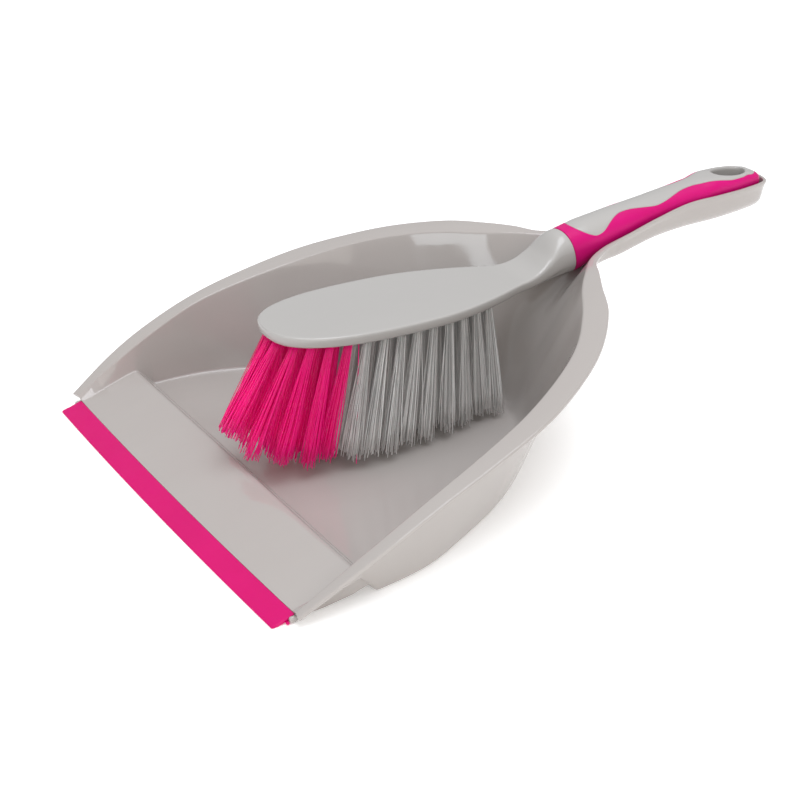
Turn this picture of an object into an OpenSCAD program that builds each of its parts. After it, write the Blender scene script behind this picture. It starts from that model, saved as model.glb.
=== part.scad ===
// Dustpan and brush set: a moulded pan with a soft lip, and a brush that rests in the pan's trough handle.
// Units are millimetres. +Z is up, the open lip faces -Y and the handle runs to +Y.

/* [Pan] */
// Wall thickness of the pan
wall = 2; // [1.8:0.1:2.1]
// Wall thickness of the trough handle
trough_wall = 1.3; // [1.2:0.05:1.4]

/* [Lip] */
// Half of the lip strip's width along its front edge
lip_half_w = 105; // [104:0.5:106]
// Depth of the lip strip, front to back
lip_depth = 10.5; // [9:0.5:12]
// How far the middle of the lip bows forward of its ends
lip_bow = 1.5; // [0:0.1:2]
// Height of the ramp where the strip ends
lip_rear_z = 3.5; // [3:0.1:4]

/* [Ramp] */
// Distance from the lip's ends back to the top of the ramp
ramp_top_y = 40.5; // [38:0.5:42]
// Height of the top of the ramp
ramp_top_z = 11.5; // [9:0.5:12]

/* [Brush head] */
// Half of the head plate's greatest width
head_half_w = 27.3; // [26:0.1:28]
// Thickness of the head plate
head_t = 6.5; // [6.5:0.5:8]
// Downward slope of the head from its tip to the neck, in degrees
head_slope = 2.6; // [2:0.1:3]

/* [Bristles] */
// Number of tuft rows along the head
tuft_rows = 15; // [12:1:15]
// Number of bright rows, counted from the tip
bright_rows = 5; // [0:1:12]
// Distance between tuft rows
row_pitch = 8.8; // [8.6:0.1:9]
// Radius of a tuft's hole
hole_r = 2.1; // [2:0.05:2.2]
// Depth of a tuft's hole
hole_depth = 5; // [4:0.5:5]
// Length of the bristles below the plate
bristle_len = 58; // [54:1:58]

/* [Hanging hole] */
// Width of the oval hole
hang_width = 11.6; // [8:0.2:12]
// Length of the oval hole
hang_length = 20.4; // [16:0.2:21]
// Width of the ring round the hole
hang_ring = 2.5; // [2:0.1:3]

/* [Hidden] */
tuft_names = [for (k = [1:tuft_rows]) str("tuft_row_", k < 10 ? "0" : "", k)];

pan_grey = [0.78, 0.76, 0.75];
brush_grey = [0.74, 0.74, 0.74];
bristle_grey = [0.62, 0.62, 0.63];
bright = [0.88, 0.12, 0.50];
bright_bristle = [0.95, 0.08, 0.44];
steel = [0.7, 0.7, 0.72];

// Every y below is counted from the ends of the lip's front edge; this moves it to the middle of the set.
trough_end_y = 348.6;
to_centre = [0, (lip_bow - trough_end_y) / 2, 0];

// ---- Curves -------------------------------------------------------------------------------------

function lerp(a, b, t) = a + (b - a) * t;
function unit(v) = v / norm(v);
function clamp01(t) = min(1, max(0, t));
function smooth(t) = t * t * (3 - 2 * t);
function smooth_min(a, b, r) = -r * ln(exp(-a / r) + exp(-b / r));
function bezier2(a, b, c, t) = lerp(lerp(a, b, t), lerp(b, c, t), t);

// A row of a list of points, with the end rows repeated past the ends
function row(rows, k) = rows[min(len(rows) - 1, max(0, k))];

// Catmull-Rom curve through the rows at s = 0, 1, 2, ...
function curve(rows, s) =
    let (k = min(len(rows) - 2, floor(s)), t = s - k,
         a = row(rows, k - 1), b = row(rows, k), c = row(rows, k + 1), d = row(rows, k + 2))
    b + 0.5 * t * (c - a + t * (2 * a - 5 * b + 4 * c - d + t * (3 * (b - c) + d - a)));

// A value read from [position, value] rows, joined smoothly
function along(rows, y) =
    let (last = len(rows) - 1,
         k = max([0, for (i = [0:last - 1]) if (rows[i][0] <= y) i]),
         t = clamp01((y - rows[k][0]) / (rows[k + 1][0] - rows[k][0])))
    curve([for (r = rows) r[1]], k + t);

// ---- Pan: the same stations run from the lip, round the wall and along the trough handle ----------

// Inner edge of the rim
rim_in = [
    [107.2, 9.7, 5.4], [108.1, 30, 16.8], [108.5, 50, 27.2], [107.6, 75, 38.4], [103.5, 100, 46],
    [96.2, 128, 53.3], [85.7, 153, 60.1], [73.5, 172, 64.8], [57, 188, 68.9], [40, 201, 71.3],
    [28, 212.5, 73], [18, 223.5, 73.4], [12.5, 236, 74.6], [11.5, 252, 77.5], [11.1, 270, 81.5],
    [10.9, 290, 84.9], [11.5, 309, 85.2], [11.1, 327, 85.2], [8.2, 342.3, 85], [0, 347.2, 84.4]];
// Outer edge of the rim flange
rim_out = [
    [111, 8.5, 5.4], [114.8, 30, 18.2], [116.3, 50, 28.3], [115.8, 75, 38.6], [113.3, 100, 46.3],
    [107, 132, 54.7], [95.7, 158.6, 61.2], [82.4, 179, 66.3], [64, 197, 70.9], [46.5, 207.5, 73.5],
    [33.5, 216, 74.3], [22.6, 223.6, 73.7], [15, 236.6, 74.8], [13, 252, 77.6], [12.6, 270, 81.6],
    [12.4, 290, 84.9], [13, 309.3, 85.2], [12.6, 327.8, 85.2], [9.2, 343.6, 85],
    [0, trough_end_y, 84.4]];
// Foot of the wall, where it meets the floor, the back of the bowl or the bottom of the trough
wall_foot = [
    [102.5, 10.5, 2], [105, 30, 2], [104.6, 50, 2], [101.4, 75, 2], [92.5, 98, 2],
    [80, 124, 2], [65, 146, 2], [49, 163, 2], [32, 176, 2], [15, 184.5, 2],
    [7, 193, 14], [6.5, 207, 42], [7.5, 231, 60.8], [9, 250, 66.1], [9.4, 270, 70.3],
    [9.5, 290, 71.7], [10.2, 309, 71.9], [9.8, 326, 72.3], [6.8, 340.8, 72.5], [0, 344.6, 72.5]];
// Size of the rounding between the wall and the floor
foot_round = [2, 2, 2, 2.2, 2.6, 3.2, 4.5, 7, 10, 14, 20, 16, 8, 5, 5, 5, 5, 5, 4, 3];
// Steps from each station to the next
steps = [3, 12, 3, 3, 3, 3, 3, 3, 3, 3, 3, 3, 3, 3, 2, 2, 2, 2, 2];
stations = [for (k = [0:len(steps) - 1]) for (j = [0:steps[k] - 1]) k + j / steps[k], len(steps)];
last = len(stations) - 1;

// How far the floor's middle line lags behind the foot, at each station of the trough's end
end_lag = [0, 1.4, 2.2, 2.5];
end_s = 16;

step_run = 8.6;        // from the ramp's crest back to the foot of the step behind it
step_slope = 1.15;   // height of that step over its length

// Height of the ramp and of the step behind it, above the floor
function ramp_z(y) =
    let (rise = (ramp_top_z - lip_rear_z) / (ramp_top_y - lip_depth),
         ramp = lip_rear_z + rise * (y - lip_depth),
         back = wall + (ramp_top_y + step_run - y) * step_slope)
    max(wall, smooth_min(ramp, back, 0.6));
// How far a point of the ramp bows forward
function bow(x, y) =
    lip_bow * (1 - pow(x / lip_half_w, 2)) * clamp01(1 - (y - lip_depth) / (ramp_top_y - lip_depth));

wall_steps = 1;
round_steps = 5;
floor_steps = 3;
half = 1 + wall_steps + round_steps + floor_steps;  // points from the rim to the middle, less one

// Half of the pan's inner surface at one station, from the rim to the middle
function half_section(s) =
    let (o = curve(rim_out, s), r = curve(rim_in, s), f0 = curve(wall_foot, s),
         f = [f0.x, f0.y, s < 9 ? ramp_z(f0.y) : max(wall, f0.z)],
         c = [0, f.y - curve(end_lag, max(0, s - end_s)), f.z],
         size = curve(foot_round, s),
         a = lerp(f, r, min(0.8, size / norm(r - f))),
         b = lerp(f, c, min(0.8, size / norm(c - f))))
    concat([o],
           [for (i = [0:wall_steps - 1]) lerp(r, a, i / wall_steps)],
           [for (i = [0:round_steps]) bezier2(a, f, b, i / round_steps)],
           [for (i = [1:floor_steps])
               let (p = lerp(b, c, i / floor_steps)) [p.x, p.y - bow(p.x, p.y), p.z]]);

pan_half = [for (s = stations) half_section(s)];
across = 2 * half;
function pan_pt(i, j) =
    let (p = pan_half[min(i, last)][min(j, across - j)]) [j > half ? -p.x : p.x, p.y, p.z];
// Past the end of the trough the surface carries on as its own mirror image
function pan_near(i, j) = i > last ? pan_pt(last - 1, across - j) : pan_pt(max(0, i), j);

function face_normal(i, j) =
    let (run = pan_near(i + 1, j) + pan_near(i + 1, j + 1) - pan_near(i - 1, j) - pan_near(i - 1, j + 1),
         span = pan_pt(i, j + 1) - pan_pt(i, j))
    unit(cross(run, span));
// The wall thins towards the trough handle, which starts at this station
trough_s = 13;
function wall_at(i) =
    lerp(wall, trough_wall, smooth(clamp01(1 - (trough_s - stations[min(i, last)]) / 2)));
// Mitred thickness at a point of the surface. The seam ends at the middle line, one station short.
function thickness(i, j) =
    i == last && j == half ? thickness(last - 1, half) :
    j == 0 ? wall_at(i) * face_normal(i, 0) :
    j == across ? wall_at(i) * face_normal(i, across - 1) :
    let (n1 = face_normal(i, j - 1), n2 = face_normal(i, j)) wall_at(i) * (n1 + n2) / (1 + n1 * n2);

function pan_under(i, j) =
    let (p = pan_pt(i, j), t = thickness(i, j), q = p - t) [q.x, q.y, max(0, q.z)];

ring_n = across + 1;
function vert(i, j) = i * ring_n + (i == last ? min(j, across - j) : j);

module pan_shell() {
    top = concat([for (i = [0:last - 1]) for (j = [0:across]) pan_pt(i, j)],
                 [for (j = [0:half]) pan_pt(last, j)]);
    under = concat([for (i = [0:last - 1]) for (j = [0:across]) pan_under(i, j)],
                   [for (j = [0:half]) pan_under(last, j)]);
    n = len(top);
    quads = concat(
        [for (i = [0:last - 1]) for (j = [0:across - 1])
            [vert(i, j), vert(i, j + 1), vert(i + 1, j + 1), vert(i + 1, j)]],
        [for (i = [0:last - 1]) for (j = [0:across - 1])
            [n + vert(i, j), n + vert(i + 1, j), n + vert(i + 1, j + 1), n + vert(i, j + 1)]],
        [for (i = [0:last - 1]) [vert(i, 0), vert(i + 1, 0), n + vert(i + 1, 0), n + vert(i, 0)]],
        [for (i = [0:last - 1])
            [vert(i + 1, across), vert(i, across), n + vert(i, across), n + vert(i + 1, across)]],
        [for (j = [0:across - 1]) [vert(0, j + 1), vert(0, j), n + vert(0, j), n + vert(0, j + 1)]]);
    polyhedron(concat(top, under), [for (q = quads) each [[q[0], q[1], q[2]], [q[0], q[2], q[3]]]]);
}

// Tongue along the front edge of the ramp, which the lip strip is moulded round
tongue_t = 0.9;
tongue_reach = 5;
tongue_gap = 6;  // from each end of the tongue to the strip's end
module tongue() {
    slope = atan((ramp_top_z - lip_rear_z) / (ramp_top_y - lip_depth));
    translate([0, lip_depth, lip_rear_z])
        rotate([slope, 0, 0])
            translate([tongue_gap - lip_half_w, -lip_bow - tongue_reach, -(wall + tongue_t) / 2])
                cube([2 * (lip_half_w - tongue_gap), tongue_reach + 2 * lip_bow, tongue_t]);
}

// Skirts that close the ramp's ends, from the front corners back to the notch before the belly
skirt_x = 102;     // inner face of a skirt at its front end
skirt_turn = 3.6;  // how far a skirt turns outwards, in degrees
// Outline of a skirt, as [distance back from the strip, height]
skirt = [[0.5, 0.3], [13.5, 1.1], [26.7, 3], [30, 4.2], [33.6, 5.2], [34, 6.6], [31.5, 9.4], [30, 10.2],
         [0.5, 2.6]];
module skirts() {
    for (side = [0, 1]) mirror([side, 0, 0])
        translate([skirt_x, lip_depth, 0]) rotate([0, 0, -skirt_turn])
            rotate([90, 0, 90]) linear_extrude(wall) polygon(skirt);
}

module pan_body() {
    color(pan_grey) translate(to_centre) {
        pan_shell();
        tongue();
        skirts();
    }
}

// The strip is a wedge: thin at its front edge, and as thick as the ramp at its back
strip_steps = 12;
module wedge() {
    rear = pan_under(0, half);
    drop = lip_rear_z - rear.z;
    set_back = rear.y - (lip_depth - lip_bow);
    xs = [for (k = [-strip_steps:strip_steps]) lip_half_w * k / strip_steps];
    ring = [for (x = xs) each let (b = lip_bow * (1 - pow(x / lip_half_w, 2))) [
        [x, -b, 0.1], [x, 0.3 - b, 0.8],
        [x, lip_depth - b, lip_rear_z], [x, lip_depth - b + set_back, lip_rear_z - drop], [x, 2 - b, 0]]];
    n = len(xs);
    polyhedron(ring, concat(
        [[4, 3, 2, 1, 0]],
        [[for (m = [0:4]) 5 * (n - 1) + m]],
        [for (k = [0:n - 2]) for (m = [0:4])
            [5 * k + m, 5 * k + (m + 1) % 5, 5 * (k + 1) + (m + 1) % 5, 5 * (k + 1) + m]]));
}

module lip_strip() {
    color(bright) translate(to_centre) difference() {
        wedge();
        tongue();
    }
}

// ---- Brush --------------------------------------------------------------------------------------

head_tip_y = 57.5;   // tip of the head plate
head_wide_y = 118;   // where the head is widest
head_tip_z = 73;     // height of the head's top face at its tip
neck_y = 205;        // where the head has narrowed to the neck
neck_half_w = 11;
plate_end_y = 202;   // the plate's own end, inside the neck
boss_end_y = 188;    // the end of the thicker middle
collar_y = 221;      // where the grip starts
brush_end_y = 344.2;
nose_n = 2.5;        // how square the plate's front outline is: 2 for an ellipse
waist_n = 1.35;      // how late the outline starts to draw in towards the neck

// Half of the head's width: a superellipse in front, easing into the neck behind
function head_w(y) =
    y < head_wide_y
    ? head_half_w * pow(1 - pow((head_wide_y - y) / (head_wide_y - head_tip_y), nose_n), 1 / nose_n)
    : head_half_w - (head_half_w - neck_half_w)
        * smooth(pow(clamp01((y - head_wide_y) / (neck_y - head_wide_y)), waist_n));

// Puts a child, drawn with the head's top face at z = 0, at the slope of the head
module on_head() {
    translate([0, head_tip_y, head_tip_z])
        rotate([-head_slope, 0, 0])
            translate([0, -head_tip_y, 0])
                children();
}

rim_t = 5.5;         // thickness of the plate's rim
boss_inset = 2;      // how far the thicker middle of the plate stands in from its rim
outline_step = 7;    // from one point of the plate's outline to the next, behind its widest place

module head_slab(inset, low, high, end_y) {
    nose = [for (a = [0:6:90]) head_wide_y - (head_wide_y - head_tip_y) * cos(a)];
    flank = [for (y = [head_wide_y + outline_step:outline_step:end_y]) y];
    side = [for (y = concat(nose, flank)) [max(0, head_w(y) - inset), max(y, head_tip_y + inset)]];
    back = [for (k = [len(side) - 1:-1:1]) [-side[k].x, side[k].y]];
    on_head() translate([0, 0, low]) linear_extrude(high - low) polygon(concat(side, back));
}

module head_plate() {
    head_slab(0, -rim_t, 0, plate_end_y);
    head_slab(boss_inset, -head_t, -rim_t + 0.5, boss_end_y);
}

// Handle: half width, top and bottom at each place along it
handle_w = [[172, 17], [190, 12.6], [205, 10.7], [221, 10.3], [232, 10], [250, 9.3], [270, 9.2],
            [290, 9.6], [308, 10.2], [322, 10.1], [333, 9], [340, 7.6], [343.4, 5.2], [345, 2.8],
            [345.6, 1.2]];
handle_top = [[172, 67.2], [190, 66.8], [200, 68.4], [208, 73.4], [214, 79.3], [221, 83],
              [232, 85.3], [250, 87.2], [270, 88.6], [290, 90.3], [308, 92], [322, 91.9], [333, 90.9],
              [339.8, 89.4], [343.3, 87.5], [345.1, 85.8], [345.6, 84.6]];
handle_low = [[172, 60.5], [190, 60.5], [200, 60.8], [208, 61], [221, 61.1], [232, 63.9], [250, 68],
              [270, 72], [290, 73.5], [308, 73.8], [322, 74.2], [333, 75.4], [340, 77.2],
              [343.6, 79.6], [345.1, 81.6], [345.6, 82.8]];
round_n = 24;  // points round the handle
squareness = 2.3;  // of the handle's section: 2 for an ellipse
hang_squareness = 4;  // the same, for the flatter top round the hanging hole
flat_reach = 12;      // how far the flatter top runs each way from the hole's middle
flat_fade = 12;       // and over how much more it eases into the rest

// The rings lean near the collar, so the grip's edge lies back at the top
collar_lean = 0.24;  // how far the collar's ring leans back, for each millimetre up
lean_run = 22;       // from the collar to where the rings stand upright again
function ring_lean(y) = collar_lean * smooth(clamp01(1 - abs(y - collar_y) / lean_run));

function top_squareness(y) = squareness + (hang_squareness - squareness)
    * smooth(clamp01((flat_reach + flat_fade - abs(y - hang_y)) / flat_fade));

// One ring of the handle, drawn in by some inset
function handle_ring(y, inset) =
    let (top = along(handle_top, y) - inset, low = along(handle_low, y) + inset,
         w = along(handle_w, y) - inset, mid = (top + low) / 2, h = (top - low) / 2)
    [for (k = [0:round_n - 1]) let (a = 360 * k / round_n, c = cos(a), s = sin(a))
        let (n = s > 0 ? top_squareness(y) : squareness, up = h * sign(s) * pow(abs(s), 2 / n))
        [w * sign(c) * pow(abs(c), 2 / n), y - ring_lean(y) * up, mid + up]];

module handle_loft(ys, inset = 0) {
    rings = [for (y = ys) each handle_ring(y, inset)];
    n = len(ys);
    polyhedron(rings, concat(
        [[for (k = [round_n - 1:-1:0]) k]],
        [[for (k = [0:round_n - 1]) (n - 1) * round_n + k]],
        [for (i = [0:n - 2]) for (k = [0:round_n - 1]) let (m = (k + 1) % round_n)
            each [[i * round_n + k, i * round_n + m, (i + 1) * round_n + k],
                  [i * round_n + m, (i + 1) * round_n + m, (i + 1) * round_n + k]]]));
}

grip_t = 1.8;  // thickness of the soft grip
neck_ys = [172, 178, 184, 190, 194, 198, 202, 205, 208, 211, 214, 217, collar_y];
handle_ys = concat([for (y = [collar_y:6:330]) y], [332, 335, 338, 340.4, 342.4, 343.6, brush_end_y]);
core_ys = concat([for (y = [collar_y:6:330]) y], [332, 335, 338, 340.4, 341.6]);

// Half width of the grey inlay that shows through the top of the grip
inlay_w = [[226, 0.2], [228, 6.2], [231, 8.4], [235, 9.2], [239, 8.8], [243, 7.4], [247, 5.8],
           [251, 4.7], [257, 4.8], [264, 6], [272, 7.2], [279, 6.8], [285, 5.6], [291, 4.4],
           [298, 4.4], [305, 5.8], [312, 7.8], [320, 8.9], [328, 8.4], [334, 7], [339, 4.4],
           [342, 0.4]];
inlay_low_z = 80;  // depth to which the inlay reaches down into the core
module inlay() {
    side = [for (y = [226:2:342]) [along(inlay_w, y), y]];
    back = [for (k = [len(side) - 1:-1:0]) [-side[k].x, side[k].y]];
    translate([0, 0, inlay_low_z]) linear_extrude(20) polygon(concat(side, back));
}

// The hanging hole is oval, and goes straight down
hang_y = 325;
oval_low_z = 60;   // well below the handle
oval_h = 50;
module oval(margin) {
    translate([0, hang_y, oval_low_z]) linear_extrude(oval_h)
        scale([hang_width / 2 + margin, hang_length / 2 + margin]) circle(1, $fn = 64);
}

// Tufts: each one is [x, row], placed where the head is wide enough
front_rows = [62.4, 66.4, 72.8, 80.6, 89];   // places of the rows in the round of the tip
edge_gap = 6.5;      // from the outermost tufts' centres to the head's side
tip_reach = 3.2;     // the same tufts' distance from the middle, in the row at the tip
tuft_gap = 9.6;      // usual distance between the tufts of a row
tuft_root_r = 1.95;
tuft_tip_r = 2.6;
anchor_w = 3.6;
anchor_t = 0.5;
anchor_h = 1.6;
anchor_seat = 1.8;   // length at the bottom of a hole that the anchor takes
splay = 0.06;        // outward lean, in degrees for each millimetre from the middle

function row_y(k) = k < len(front_rows) ? front_rows[k]
    : front_rows[len(front_rows) - 1] + row_pitch * (k + 1 - len(front_rows));
// Distance from the middle to a row's outermost tufts; the last row has one tuft
function reach(k) = k == 0 ? tip_reach : k == tuft_rows - 1 ? 0 : head_w(row_y(k)) - edge_gap;
function tufts_in(k) = round(2 * reach(k) / tuft_gap) + 1;
function tuft_x(k, i) = tufts_in(k) < 2 ? 0 : lerp(-reach(k), reach(k), i / (tufts_in(k) - 1));
// Forward lean of the rows, in degrees: strong at the tip, and slightly backward at the neck
lean_rows = [33, 26, 18, 14, 12.4, 11, 9, 7, 5, 3.2, 1.5, -0.5, -2.8, -4.8, -3];
// How much shorter the bristles of the first rows are than the others
row_trim = [11, 4, 1];
function tuft_len(k) = bristle_len - (k < len(row_trim) ? row_trim[k] : 0);

// Puts a child, drawn down from z = 0, at the bottom of one tuft's hole
module at_hole(k, i) {
    x = tuft_x(k, i);
    on_head() translate([x, row_y(k), -head_t])
        rotate([head_slope - lean_rows[k], -x * splay, 0])
            translate([0, 0, hole_depth])
                children();
}

module holes() {
    for (k = [0:tuft_rows - 1]) for (i = [0:tufts_in(k) - 1])
        at_hole(k, i) translate([0, 0, -hole_depth - 4]) cylinder(r = hole_r, h = hole_depth + 4, $fn = 32);
}

module tuft(k) {
    full = hole_depth + tuft_len(k) - anchor_seat;
    translate([0, 0, -anchor_seat - full]) cylinder(r1 = tuft_tip_r, r2 = tuft_root_r, h = full, $fn = 32);
}

module tuft_row(k) {
    color(k < bright_rows ? bright_bristle : bristle_grey) translate(to_centre)
        for (i = [0:tufts_in(k) - 1]) at_hole(k, i) tuft(k);
}

module tuft_anchors() {
    color(steel) translate(to_centre)
        for (k = [0:tuft_rows - 1]) for (i = [0:tufts_in(k) - 1])
            at_hole(k, i) translate([-anchor_w / 2, -anchor_t / 2, -anchor_seat + 0.1])
                cube([anchor_w, anchor_t, anchor_h]);
}

module brush_core() {
    color(brush_grey) translate(to_centre) difference() {
        union() {
            head_plate();
            handle_loft(neck_ys);
            handle_loft(core_ys, grip_t);
            intersection() {
                handle_loft(handle_ys);
                union() {
                    inlay();
                    oval(hang_ring);
                }
            }
        }
        oval(0);
        holes();
    }
}

module brush_grip() {
    color(bright) translate(to_centre) difference() {
        handle_loft(handle_ys);
        handle_loft(core_ys, grip_t);
        inlay();
        oval(hang_ring);
    }
}

pan_body();
lip_strip();
brush_core();
brush_grip();
tuft_anchors();
for (k = [0:tuft_rows - 1]) tuft_row(k);
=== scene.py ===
"""Looks of a dustpan and brush: a moulded pan with a soft lip, and the brush that rests in its handle."""
import math

import bmesh
import bpy
import numpy as np
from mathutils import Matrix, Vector


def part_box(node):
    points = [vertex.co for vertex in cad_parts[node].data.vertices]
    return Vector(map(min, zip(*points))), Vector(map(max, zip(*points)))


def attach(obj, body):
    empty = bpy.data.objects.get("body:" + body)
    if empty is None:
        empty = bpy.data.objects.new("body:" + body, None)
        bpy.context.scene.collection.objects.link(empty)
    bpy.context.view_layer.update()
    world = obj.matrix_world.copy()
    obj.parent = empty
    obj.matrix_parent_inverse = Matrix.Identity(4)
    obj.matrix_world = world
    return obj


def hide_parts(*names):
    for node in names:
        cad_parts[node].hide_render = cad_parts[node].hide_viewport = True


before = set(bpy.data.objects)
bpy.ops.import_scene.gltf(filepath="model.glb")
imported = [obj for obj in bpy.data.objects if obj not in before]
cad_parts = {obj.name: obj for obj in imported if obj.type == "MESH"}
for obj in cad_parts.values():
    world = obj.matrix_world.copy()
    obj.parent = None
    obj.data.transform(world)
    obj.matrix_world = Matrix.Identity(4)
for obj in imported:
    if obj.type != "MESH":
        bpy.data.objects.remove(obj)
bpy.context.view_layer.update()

MM = 0.001
SEED = 7
rng = np.random.default_rng(SEED)

# Shapes are drawn in millimetres, with y = 0 at the ends of the lip's front edge. LIP_Y is that line's
# place in the frame.
LIP_BOW = 1.5
LIP_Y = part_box("lip_strip")[0].y / MM + LIP_BOW


# ---- Curves -------------------------------------------------------------------------------------

def curve(rows, s):
    """Catmull-Rom curve through rows, at the places s, counted in rows."""
    rows = np.asarray(rows, float)
    s = np.clip(np.asarray(s, float), 0, len(rows) - 1)
    k = np.minimum(s.astype(int), len(rows) - 2)
    t = s - k
    if rows.ndim == 2:
        t = t[..., None]
    a, b = rows[np.maximum(k - 1, 0)], rows[k]
    c, d = rows[k + 1], rows[np.minimum(k + 2, len(rows) - 1)]
    return b + 0.5 * t * (c - a + t * (2 * a - 5 * b + 4 * c - d + t * (3 * (b - c) + d - a)))


def along(table, y):
    """A value read from [position, value] rows, joined smoothly."""
    table = np.asarray(table, float)
    at = np.interp(y, table[:, 0], np.arange(len(table)))
    return curve(table[:, 1], at)


def smooth(t):
    t = np.clip(t, 0, 1)
    return t * t * (3 - 2 * t)


def lerp(a, b, t):
    return a + (b - a) * t


def unit(v):
    return v / np.maximum(np.linalg.norm(v, axis=-1, keepdims=True), 1e-12)


def bezier(a, f, b, t):
    return (1 - t) ** 2 * a + 2 * t * (1 - t) * f + t * t * b


# ---- Meshes -------------------------------------------------------------------------------------

class Shell:
    """Collects points and faces, in millimetres, and makes one object of them."""

    def __init__(self):
        self.points, self.faces = [], []
        self.count = 0

    def add(self, points, faces):
        points = np.asarray(points, float).reshape(-1, 3)
        self.points.append(points)
        self.faces += [[self.count + k for k in face] for face in faces]
        self.count += len(points)

    def grid(self, rows, wrap=False):
        """A sheet through rows of points."""
        rows = np.asarray(rows, float)
        n, m = rows.shape[:2]
        last = m if wrap else m - 1
        faces = [[i * m + j, i * m + (j + 1) % m, (i + 1) * m + (j + 1) % m, (i + 1) * m + j]
                 for i in range(n - 1) for j in range(last)]
        self.add(rows, faces)

    def make(self, name, material, weld, sharp):
        """Mirrors what was drawn for x > 0, joins points closer than weld, and smooths up to an angle."""
        points = np.concatenate(self.points)
        mesh = bpy.data.meshes.new(name)
        bm = bmesh.new()
        verts = [bm.verts.new(p) for p in points]
        for face in self.faces:
            corners = [verts[k] for k in dict.fromkeys(face)]
            if len(corners) > 2:
                try:
                    bm.faces.new(corners)
                except ValueError:   # the face is there already
                    pass
        bmesh.ops.mirror(bm, geom=bm.verts[:] + bm.edges[:] + bm.faces[:], axis="X", merge_dist=0)
        bmesh.ops.remove_doubles(bm, verts=bm.verts[:], dist=weld)
        bmesh.ops.dissolve_degenerate(bm, edges=bm.edges[:], dist=weld)
        bmesh.ops.recalc_face_normals(bm, faces=bm.faces[:])
        for v in bm.verts:
            v.co = place(v.co)
        for f in bm.faces:
            f.smooth = True
        bm.to_mesh(mesh)
        bm.free()
        mesh.set_sharp_from_angle(angle=math.radians(sharp))
        obj = bpy.data.objects.new(name, mesh)
        bpy.context.scene.collection.objects.link(obj)
        mesh.materials.append(material)
        return obj


def place(p):
    """A point in millimetres, from the lip's ends, to the frame in metres."""
    return Vector((p[0] * MM, (p[1] + LIP_Y) * MM, p[2] * MM))


# ---- Materials ----------------------------------------------------------------------------------

class Nodes:
    """Short calls for building one material's nodes."""

    def __init__(self, name):
        self.material = bpy.data.materials.new(name)
        self.material.use_nodes = True
        self.tree = self.material.node_tree
        self.shader = self.tree.nodes["Principled BSDF"]

    def new(self, kind, **inputs):
        node = self.tree.nodes.new(kind)
        for name, value in inputs.items():
            self.put(node.inputs[name.replace("_", " ")], value)
        return node

    def put(self, socket, value):
        if isinstance(value, bpy.types.NodeSocket):
            self.tree.links.new(value, socket)
        else:
            socket.default_value = value

    def noise(self, scale, detail=3.0, rough=0.5, stretch=(1, 1, 1)):
        where = self.new("ShaderNodeTexCoord").outputs["Object"]
        mapped = self.new("ShaderNodeMapping", Vector=where, Scale=stretch).outputs["Vector"]
        texture = self.new("ShaderNodeTexNoise", Vector=mapped, Scale=scale, Detail=detail, Roughness=rough)
        return texture.outputs["Fac"]

    def ramp(self, value, low, high, start=0.3, end=0.7):
        """Maps a value onto the range from low to high."""
        node = self.new("ShaderNodeMapRange", Value=value)
        node.inputs["From Min"].default_value = start
        node.inputs["From Max"].default_value = end
        node.inputs["To Min"].default_value = low
        node.inputs["To Max"].default_value = high
        return node.outputs["Result"]

    def mix(self, value, low, high):
        """Mixes two colours. The sockets' names repeat for each kind of data, so they go by number."""
        first_colour, second_colour, colour_out = 6, 7, 2
        node = self.new("ShaderNodeMix")
        node.data_type = "RGBA"
        self.put(node.inputs["Factor"], value)
        self.put(node.inputs[first_colour], low)
        self.put(node.inputs[second_colour], high)
        return node.outputs[colour_out]

    def bump(self, height, strength, distance, under=None):
        node = self.new("ShaderNodeBump", Height=height, Strength=strength, Distance=distance)
        if under is not None:
            self.put(node.inputs["Normal"], under)
        return node.outputs["Normal"]

    def set(self, **inputs):
        for name, value in inputs.items():
            self.put(self.shader.inputs[name.replace("_", " ")], value)


def rgb(red, green, blue):
    """A display colour, 0 to 255, as a linear one."""
    return tuple(((c / 255 + 0.055) / 1.055) ** 2.4 for c in (red, green, blue)) + (1.0,)


def moulded_plastic(name, light, dark, rough, peel):
    """Glossy moulded plastic: faint flow marks, an uneven polish and a fine orange peel."""
    n = Nodes(name)
    flow = n.noise(14, 4, 0.55, (1, 0.35, 1))
    wear = n.noise(90, 5, 0.65)
    colour = n.mix(n.ramp(flow, 0, 1), dark, light)
    n.set(Base_Color=colour)
    n.set(Roughness=n.ramp(wear, rough - 0.04, rough + 0.05))
    n.set(Specular_IOR_Level=0.6, IOR=1.49)
    skin = n.bump(n.noise(650, 2, 0.4), peel, 0.00012)
    n.set(Normal=n.bump(n.noise(38, 2, 0.5), 0.08, 0.0009, skin))
    return n.material


def soft_rubber(name, light, dark, rough, grain):
    """Soft-touch rubber: a fine matt grain with slightly uneven colour."""
    n = Nodes(name)
    cloud = n.noise(30, 4, 0.55)
    n.set(Base_Color=n.mix(n.ramp(cloud, 0, 1), dark, light))
    n.set(Roughness=n.ramp(n.noise(160, 4, 0.6), rough - 0.05, rough + 0.07))
    n.set(Specular_IOR_Level=0.2)
    n.set(Normal=n.bump(n.noise(1600, 2, 0.6), grain, 0.0001))
    n.set(Subsurface_Weight=0.08, Subsurface_Scale=0.002, Subsurface_Radius=(1.0, 0.3, 0.4))
    return n.material


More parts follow.
